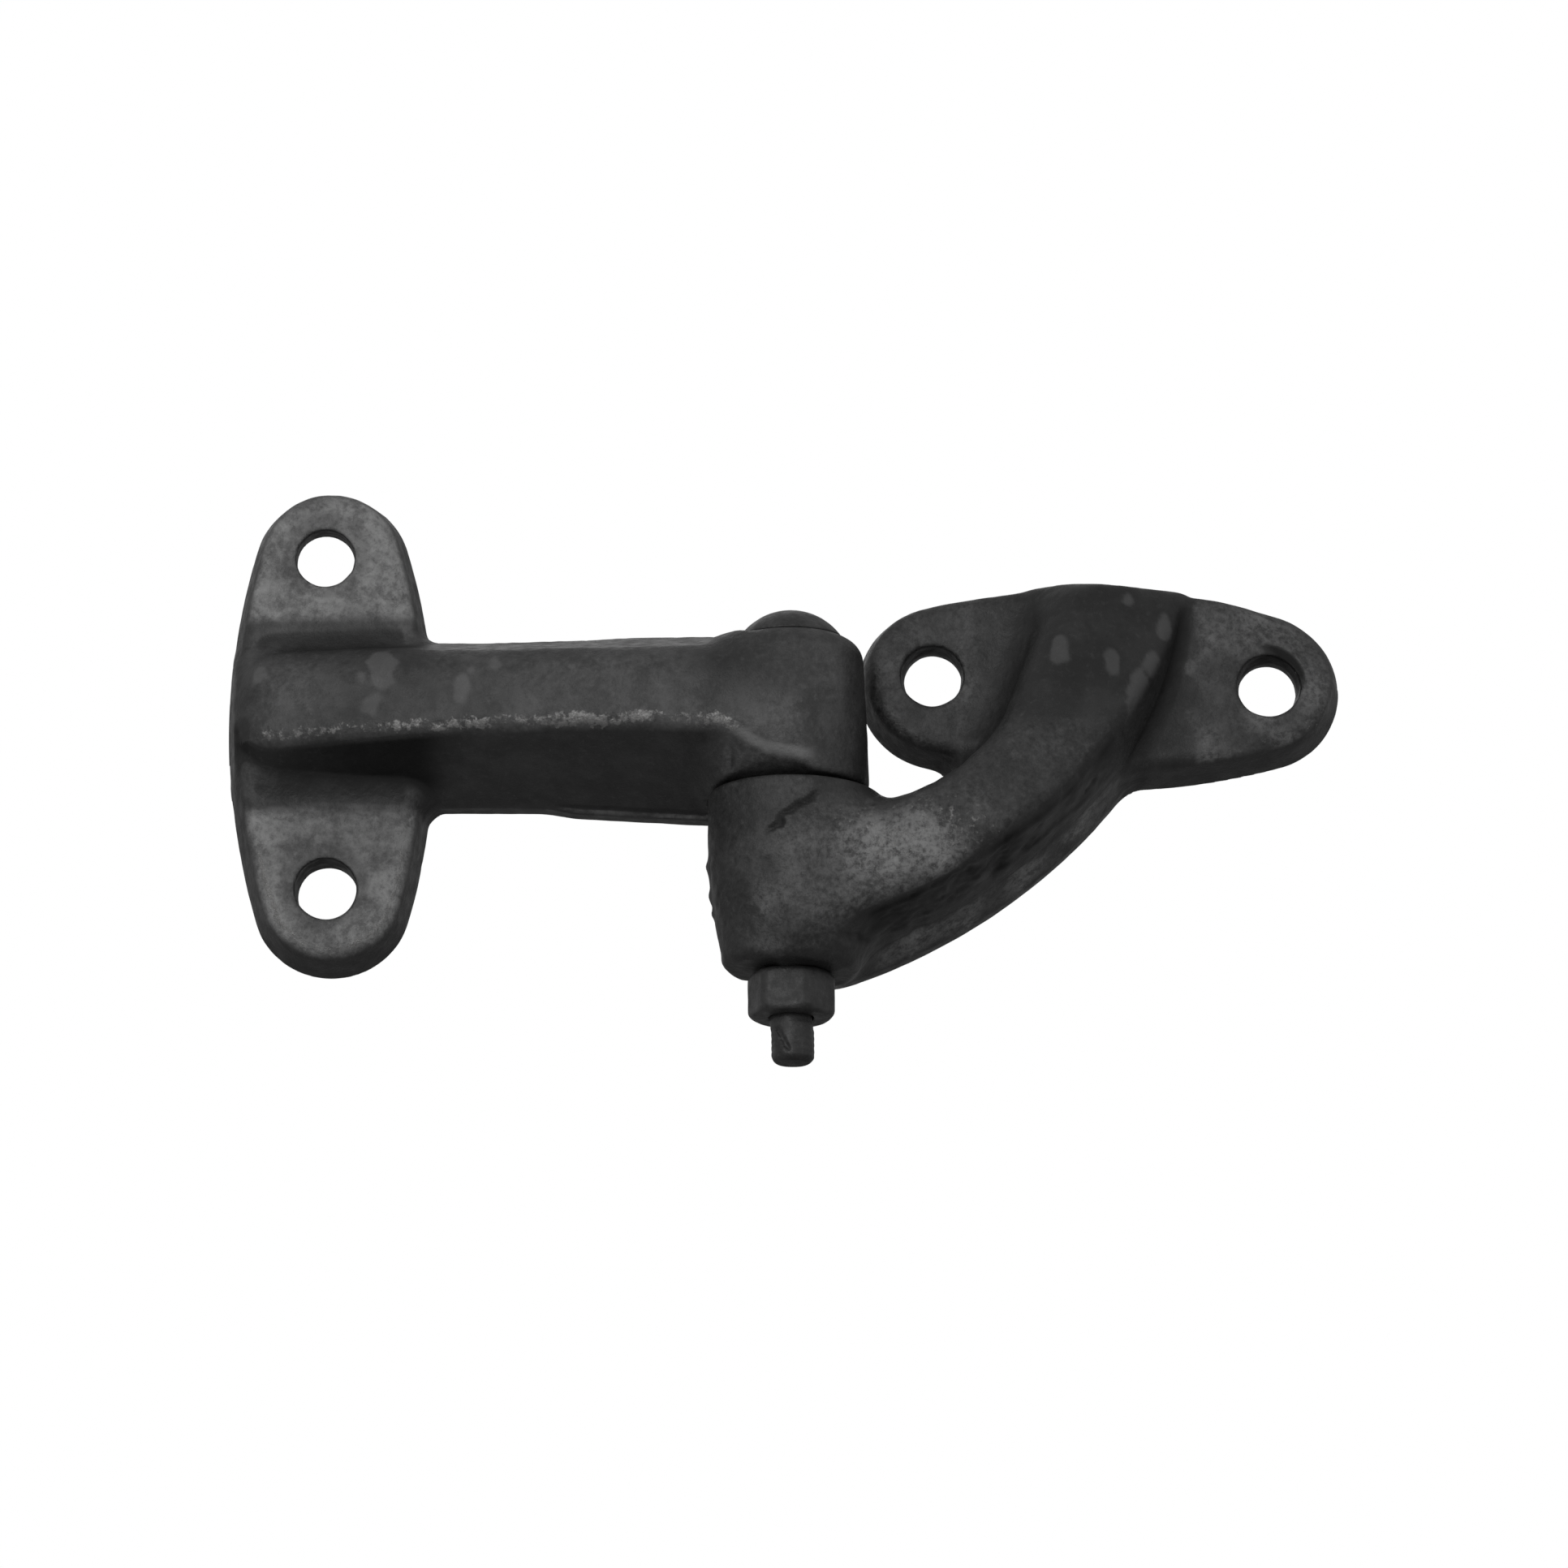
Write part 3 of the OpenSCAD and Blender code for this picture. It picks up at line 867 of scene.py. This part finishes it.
def t_leaf_dust_and_shading(p, normals):
    """Lobes greyer than the arm except round their holes; painted shade under the arm's root and in the
    holes.
    """
    x, depth, z = p[..., 0], -p[..., 1], p[..., 2]
    facing = step(0.3, 0.9, -normals[..., 1])
    lobes = np.maximum(0.9 * step(22, 26, z), 0.82 * step(-19, -23, z))
    lobes = lobes * (1 + 0.35 * noise(p, 9.0, 21) + 0.3 * step(-6, -15, x))
    from_hole = np.hypot(x, np.abs(z) - T_HALF_PITCH) + 0.8 * noise(p, 3.0, 37)
    lobes = lobes * (1 - 0.4 * step(11.0, 9.0, from_hole))
    arm = 0.16 + 0.16 * noise(p, 14.0, 22)
    # Painted shade where the arm's underside shades the lobe at its root, and on the holes' walls
    painted_shade = step(32, 20, x) * step(9, 12, depth) * step(0.75, 0.4, -normals[..., 1]) * step(0, -3, z)
    painted_shade = np.maximum(0.9 * painted_shade, 0.9 * hole_wall(p, 0, 0, 0, T_HALF_PITCH))
    return facing * np.maximum(lobes, arm) - painted_shade


def offset_leaf_dust_and_shading(p, normals):
    """Greyest on the knuckle and the arm beside it; painted light on the lip; painted shade in crease,
    crack and holes; darker rib.
    """
    x, depth, z = p[..., 0], -p[..., 1], p[..., 2]
    facing = step(0.35, 0.85, -normals[..., 1])
    band = step(32, 8, np.abs((z + 40) - 0.30 * (x - PIVOT_X - 15)) * 1.5)
    band = band * step(PIVOT_X - 11, PIVOT_X - 6, x) * step(PIVOT_X + 58, PIVOT_X + 30, x)
    right = 0.32 * step(RIB_RIGHT - 3, RIB_RIGHT + 3, x + 3 * noise(p, 5.0, 35))
    left = 0.2 * step(FLANGE_X - 20, FLANGE_X - 32, x) * step(-10, 0, z)
    rest = np.maximum(right, left) * (0.85 + 0.8 * noise(p, 6.0, 26))
    rest = np.maximum(rest, 0.07 + 0.1 * noise(p, 9.0, 34))
    bright = step(21, 5, np.hypot(x - PALE_PATCH[0], (z - PALE_PATCH[1]) * 1.6))
    bright = bright * (0.55 + 0.3 * noise(p, 4.0, 33))
    front = facing * np.maximum(band * (0.27 + 0.25 * noise(p, 7.0, 23) + bright), rest)
    beyond = beyond_arc(x, z)
    along = step(PIVOT_X + 12, PIVOT_X + 22, x) * step(PIVOT_X + 76, PIVOT_X + 70, x)
    ragged = depth + 2.5 * noise(p, 4.0, 36)
    # The lip is painted lighter, standing in for the bounce light on its band
    lip = step(3, 7, ragged) * step(15, 11, ragged) * step(-6, -4, beyond) * along
    lip = lip * step(0.05, 0.3, -normals[..., 1]) * (0.4 + 0.3 * noise(p, 5.0, 27))
    # Painted shade on the arm's down-facing side just below its crest
    crease = step(16, 20, depth) * step(0.75, 0.35, -normals[..., 1]) * step(-9, -6, beyond) * along
    crease = crease * (0.6 + 0.5 * noise(p, 6.0, 28))
    # The rib is painted darker
    rib = 0.35 * step(152, 166, x) * step(-6, 6, z) * step(RIB_RIGHT + 3, RIB_RIGHT - 2, x)
    # Painted shade of the crease, the crack's groove and the holes' walls, plus the darker rib
    shade = np.maximum(crease, rib) * step(0.25, 0.1, front) + 0.7 * crack(p)
    shade = np.maximum(shade, 0.9 * hole_wall(p, FLANGE_X, FLANGE_Z, FLANGE_HALF_PITCH, 0))
    return np.maximum(front, lip) - shade


def steel_dust(p, normals):
    """Faint greying values for the bolt and nut; their material does not read them."""
    return 0.1 * noise(p, 5.0, 24)


# ---------------------------------------------------------------- materials

# Sockets of the mix node that carry colours
COLOR_A = 6
COLOR_B = 7
COLOR_RESULT = 2


class Nodes:
    """Short names for the shader nodes used here."""

    def __init__(self, name):
        self.material = bpy.data.materials.new(name)
        self.material.use_nodes = True
        self.tree = self.material.node_tree
        self.tree.nodes.clear()

    def add(self, kind, **settings):
        """A new node with the given settings."""
        node = self.tree.nodes.new(kind)
        for key, value in settings.items():
            setattr(node, key, value)
        return node

    def wire(self, value, socket):
        """Links a node's output to a socket, or sets the socket to a plain value."""
        if isinstance(value, bpy.types.NodeSocket):
            self.tree.links.new(value, socket)
        else:
            socket.default_value = value

    def place(self):
        """The point's place on its own piece, in metres."""
        return self.add("ShaderNodeTexCoord").outputs["Object"]

    def noise(self, size_mm, detail=3.0, rough=0.55, twist=0.0):
        """Noise from 0 to 1 whose largest lumps are about size_mm wide."""
        node = self.add("ShaderNodeTexNoise")
        self.wire(self.place(), node.inputs["Vector"])
        node.inputs["Scale"].default_value = 1 / (size_mm * MM)
        node.inputs["Detail"].default_value = detail
        node.inputs["Roughness"].default_value = rough
        node.inputs["Distortion"].default_value = twist
        return node.outputs["Fac"]

    def attribute(self, name):
        """A value stored on the mesh by build()."""
        return self.add("ShaderNodeAttribute", attribute_name=name).outputs["Fac"]

    def ramp(self, value, low, high, to_low=0.0, to_high=1.0):
        """Smooth change from to_low to to_high while the value goes from low to high."""
        node = self.add("ShaderNodeMapRange", interpolation_type="SMOOTHSTEP")
        self.wire(value, node.inputs["Value"])
        node.inputs["From Min"].default_value = low
        node.inputs["From Max"].default_value = high
        node.inputs["To Min"].default_value = to_low
        node.inputs["To Max"].default_value = to_high
        return node.outputs["Result"]

    def math(self, operation, *values):
        """Result of an arithmetic operation on the values."""
        node = self.add("ShaderNodeMath", operation=operation)
        for value, socket in zip(values, node.inputs):
            self.wire(value, socket)
        return node.outputs[0]

    def mix(self, amount, a, b):
        """Colour a where amount is 0, colour b where it is 1."""
        node = self.add("ShaderNodeMix", data_type="RGBA")
        self.wire(amount, node.inputs["Factor"])
        self.wire(a, node.inputs[COLOR_A])
        self.wire(b, node.inputs[COLOR_B])
        return node.outputs[COLOR_RESULT]

    def bump(self, height, distance_mm, strength=1.0):
        """Normal that makes a height from 0 to 1 look distance_mm high."""
        node = self.add("ShaderNodeBump")
        node.inputs["Strength"].default_value = strength
        node.inputs["Distance"].default_value = distance_mm * MM
        self.wire(height, node.inputs["Height"])
        return node.outputs["Normal"]

    def surface(self, **inputs):
        """Finishes the material with a Principled shader."""
        shader = self.add("ShaderNodeBsdfPrincipled")
        for key, value in inputs.items():
            self.wire(value, shader.inputs[key.replace("_", " ")])
        output = self.add("ShaderNodeOutputMaterial")
        self.tree.links.new(shader.outputs["BSDF"], output.inputs["Surface"])
        return self.material


def grey(value, warm=0.0):
    """Neutral colour of a given linear value."""
    return (value * (1 + warm), value, value * (1 - warm), 1)


# Linear grey levels
PAINT_DARK = 0.023
PAINT_LIGHT = 0.038
GRAIN_LIGHT = 0.09
GRAIN_DARK = 0.013
# Painted shade under the T arm's root, in the crease, the crack and the holes, and the darker rib
PAINTED_SHADE_GREY = 0.010
# Painted shade in hollows and fillets
HOLLOW_SHADE = 0.012
# Pale spots of thinner paint, and painted highlights on the knuckle's crest and the flange's lower edge
PALE_PAINT_AND_HIGHLIGHT = 0.23
# Worn paint showing metal, which also serves for the painted highlights and glints
BARE_IRON_AND_HIGHLIGHT = 0.26
STEEL_DARK = 0.034
STEEL_LIGHT = 0.060
STEEL_GRAIN = 0.11
BARE_STEEL = 0.30


def painted_iron(name, broad, chalk_dark, chalk_light):
    """Black paint over a sand casting: mottled, greyed in places, rubbed to metal on its crests, with
    painted highlights and painted shade.
    """
    n = Nodes(name)
    edge = n.attribute("edge")
    wear_and_highlight = n.attribute("wear_and_highlight")
    dust_and_shading = n.attribute("dust_and_shading")
    grain = n.noise(1.5, 4, 0.72)
    # Fine specks that turn to bare metal: painted glints across the iron
    glint_specks = n.noise(1.3, 3, 0.65)
    patch = n.noise(8.0, 5, 0.6, 0.8)
    color = n.mix(n.ramp(n.noise(11, 5, 0.62, 0.4), 0.42, 0.66), grey(PAINT_DARK), grey(PAINT_LIGHT))
    color = n.mix(n.ramp(grain, 0.52, 0.76, 0, 0.45), color, grey(GRAIN_LIGHT))
    color = n.mix(n.ramp(grain, 0.46, 0.28, 0, 0.55), color, grey(GRAIN_DARK))
    chalk = n.math("ADD", n.math("MULTIPLY", patch, broad), n.math("MULTIPLY", grain, 1 - broad))
    chalk = n.mix(n.ramp(chalk, 0.36, 0.62), grey(chalk_dark), grey(chalk_light))
    color = n.mix(dust_and_shading, color, chalk)
    # Painted shade where the dust_and_shading value is below 0
    color = n.mix(n.ramp(dust_and_shading, 0.0, -1.0, 0, 0.9), color, grey(PAINTED_SHADE_GREY))
    # Pale spots of thinner paint, and painted highlights
    color = n.mix(n.attribute("thin"), color, grey(PALE_PAINT_AND_HIGHLIGHT))
    # Painted shade in hollows, from the surface's bend
    color = n.mix(n.ramp(edge, -0.02, -0.30, 0, 0.75), color, grey(HOLLOW_SHADE))
    # Metal showing: worn paint, and the painted highlights and glints drawn as bare metal
    worn = n.math("ADD", n.math("MULTIPLY", wear_and_highlight, 0.55), n.math("MULTIPLY", glint_specks, 0.9))
    bare = n.ramp(worn, 0.80, 0.98)
    color = n.mix(bare, color, grey(BARE_IRON_AND_HIGHLIGHT, 0.01))
    rough = n.ramp(n.noise(3.0, 3), 0.3, 0.7, 0.42, 0.58)
    rough = n.math("ADD", rough, n.math("MULTIPLY", bare, -0.10))
    # Less specular sheen where shade is painted, so those places stay dark
    gloss = n.ramp(dust_and_shading, 0.0, -1.0, 0.5, 0.1)
    height = n.math("ADD", grain, n.math("MULTIPLY", glint_specks, 0.5))
    relief = n.math("MULTIPLY", height, n.math("ADD", dust_and_shading, 0.6))
    return n.surface(Base_Color=color, Roughness=rough, Metallic=n.math("MULTIPLY", bare, 0.7),
                     Specular_IOR_Level=gloss, Normal=n.bump(relief, 0.45, 0.8))


def painted_steel():
    """Black paint over turned steel: smoother, with a faint grain and thin corners."""
    n = Nodes("painted_steel_skin")
    wear_and_highlight = n.attribute("wear_and_highlight")
    blotch = n.ramp(n.noise(6, 4, 0.6, 0.3), 0.38, 0.68)
    grain = n.noise(0.8, 3, 0.6)
    color = n.mix(blotch, grey(STEEL_DARK), grey(STEEL_LIGHT))
    color = n.mix(n.ramp(grain, 0.52, 0.8, 0, 0.5), color, grey(STEEL_GRAIN))
    worn = n.math("ADD", n.math("MULTIPLY", wear_and_highlight, 0.8), n.math("MULTIPLY", grain, 0.6))
    bare = n.ramp(worn, 0.55, 0.8)
    color = n.mix(bare, color, grey(BARE_STEEL))
    rough = n.ramp(n.noise(2.0, 3), 0.3, 0.7, 0.40, 0.55)
    return n.surface(Base_Color=color, Roughness=rough, Metallic=n.math("MULTIPLY", bare, 0.8),
                     Normal=n.bump(grain, 0.2, 0.6))


# ---------------------------------------------------------------- pieces

COARSER = 1.0
IRON_VOXEL = 0.6 * COARSER
BOLT_VOXEL = 0.39 * COARSER
NUT_VOXEL = 0.3 * COARSER
T_IRON = painted_iron("painted_iron_t_leaf", broad=0.55, chalk_dark=0.15, chalk_light=0.41)
OFFSET_IRON = painted_iron("painted_iron_offset_leaf", broad=0.32, chalk_dark=0.07, chalk_light=0.38)
STEEL = painted_steel()

build("t_leaf_casting", t_leaf_field, t_leaf_skin, t_leaf_wear_and_highlight, t_leaf_dust_and_shading, t_leaf_thin,
      "t_leaf", "fixed_leaf", T_IRON, IRON_VOXEL)
build("offset_leaf_casting", offset_leaf_field, offset_leaf_skin, offset_leaf_wear_and_highlight, offset_leaf_dust_and_shading,
      offset_leaf_thin, "offset_leaf", "swing_leaf", OFFSET_IRON, IRON_VOXEL)
build("cup_head_bolt", bolt_field, steel_skin, steel_rub, steel_dust, steel_thin,
      "pivot_bolt", "fixed_leaf", STEEL, BOLT_VOXEL)
build("pivot_nut", nut_field, steel_skin, steel_rub, steel_dust, steel_thin,
      "hex_nut", "fixed_leaf", STEEL, NUT_VOXEL)


# ---------------------------------------------------------------- floor, light and camera

AIM = Vector((103.5, -18.0, -16.8)) * MM
ELEVATION = math.radians(-16)
DISTANCE = 5.0
FRAME_WIDTH = 0.3532  # seen at the object's distance
SENSOR_WIDTH = 36
SKY_LIGHT = 0.32
FLOOR_HALF = 3.0
FLOOR_GAP = 0.002
FLOOR_GREY = 0.82
FLOOR_BOUNCE = 0.55
FLOOR_GLOW = 0.40


def look_at(thing, target):
    """Turns a camera or light to face a point."""
    thing.rotation_euler = (target - thing.location).to_track_quat("-Z", "Y").to_euler()


def floor():
    """Pale floor that whitens with distance. It is see-through from below, where the camera is."""
    z = BOLT_LOW[2] * MM - FLOOR_GAP
    mesh = bpy.data.meshes.new("floor")
    corners = [(x * FLOOR_HALF, y * FLOOR_HALF, z) for x, y in ((-1, -1), (1, -1), (1, 1), (-1, 1))]
    mesh.from_pydata(corners, [], [(0, 1, 2, 3)])
    plane = bpy.data.objects.new("floor", mesh)
    bpy.context.scene.collection.objects.link(plane)
    n = Nodes("floor_paint")
    path = n.add("ShaderNodeLightPath").outputs["Is Camera Ray"]
    below = n.add("ShaderNodeNewGeometry").outputs["Backfacing"]
    paint = n.add("ShaderNodeBsdfDiffuse")
    n.wire(n.mix(path, grey(FLOOR_BOUNCE), grey(FLOOR_GREY)), paint.inputs["Color"])
    glow = n.add("ShaderNodeEmission")
    n.wire(n.mix(path, grey(0.0), grey(1.0)), glow.inputs["Color"])
    away = n.add("ShaderNodeVectorMath", operation="LENGTH")
    n.wire(n.place(), away.inputs[0])
    n.wire(n.ramp(away.outputs["Value"], 0.35, 2.2, FLOOR_GLOW, 1.0), glow.inputs["Strength"])
    lit = n.add("ShaderNodeAddShader")
    n.wire(paint.outputs[0], lit.inputs[0])
    n.wire(glow.outputs[0], lit.inputs[1])
    clear = n.add("ShaderNodeBsdfTransparent")
    blend = n.add("ShaderNodeMixShader")
    n.wire(below, blend.inputs[0])
    n.wire(lit.outputs[0], blend.inputs[1])
    n.wire(clear.outputs[0], blend.inputs[2])
    n.wire(blend.outputs[0], n.add("ShaderNodeOutputMaterial").inputs["Surface"])
    mesh.materials.append(n.material)


def sky():
    """White backdrop for the camera, and a dimmer even light for everything else."""
    world = bpy.data.worlds.new("studio")
    world.use_nodes = True
    tree = world.node_tree
    tree.nodes.clear()
    path = tree.nodes.new("ShaderNodeLightPath")
    strength = tree.nodes.new("ShaderNodeMapRange")
    strength.inputs["To Min"].default_value = SKY_LIGHT
    strength.inputs["To Max"].default_value = 1.0
    tree.links.new(path.outputs["Is Camera Ray"], strength.inputs["Value"])
    background = tree.nodes.new("ShaderNodeBackground")
    background.inputs["Color"].default_value = (1, 1, 1, 1)
    tree.links.new(strength.outputs["Result"], background.inputs["Strength"])
    tree.links.new(background.outputs[0], tree.nodes.new("ShaderNodeOutputWorld").inputs["Surface"])
    bpy.context.scene.world = world


def softbox(name, place, width, height, power):
    """Rectangular light at a place measured from the object's middle, facing it."""
    light = bpy.data.lights.new(name, "AREA")
    light.shape = "RECTANGLE"
    light.size = width
    light.size_y = height
    light.energy = power
    lamp = bpy.data.objects.new(name, light)
    lamp.location = AIM + Vector(place)
    look_at(lamp, AIM)
    bpy.context.scene.collection.objects.link(lamp)


def camera():
    """Long-lens camera that looks up from 16 degrees below the level."""
    lens = bpy.data.cameras.new("camera")
    lens.sensor_width = SENSOR_WIDTH
    lens.lens = lens.sensor_width * DISTANCE / FRAME_WIDTH
    lens.clip_start = 0.01
    lens.clip_end = 20
    eye = bpy.data.objects.new("camera", lens)
    eye.location = AIM + DISTANCE * Vector((0, -math.cos(ELEVATION), math.sin(ELEVATION)))
    look_at(eye, AIM)
    bpy.context.scene.collection.objects.link(eye)
    bpy.context.scene.camera = eye


floor()
sky()
softbox("key", (-0.45, -1.15, 0.15), width=0.7, height=0.7, power=3.85)
softbox("fill", (0.8, -0.9, 0.4), width=1.0, height=0.8, power=0.8)
softbox("back", (-0.2, 1.2, 0.75), width=0.7, height=0.7, power=1.1)
camera()
bpy.context.scene.view_settings.view_transform = "Standard"
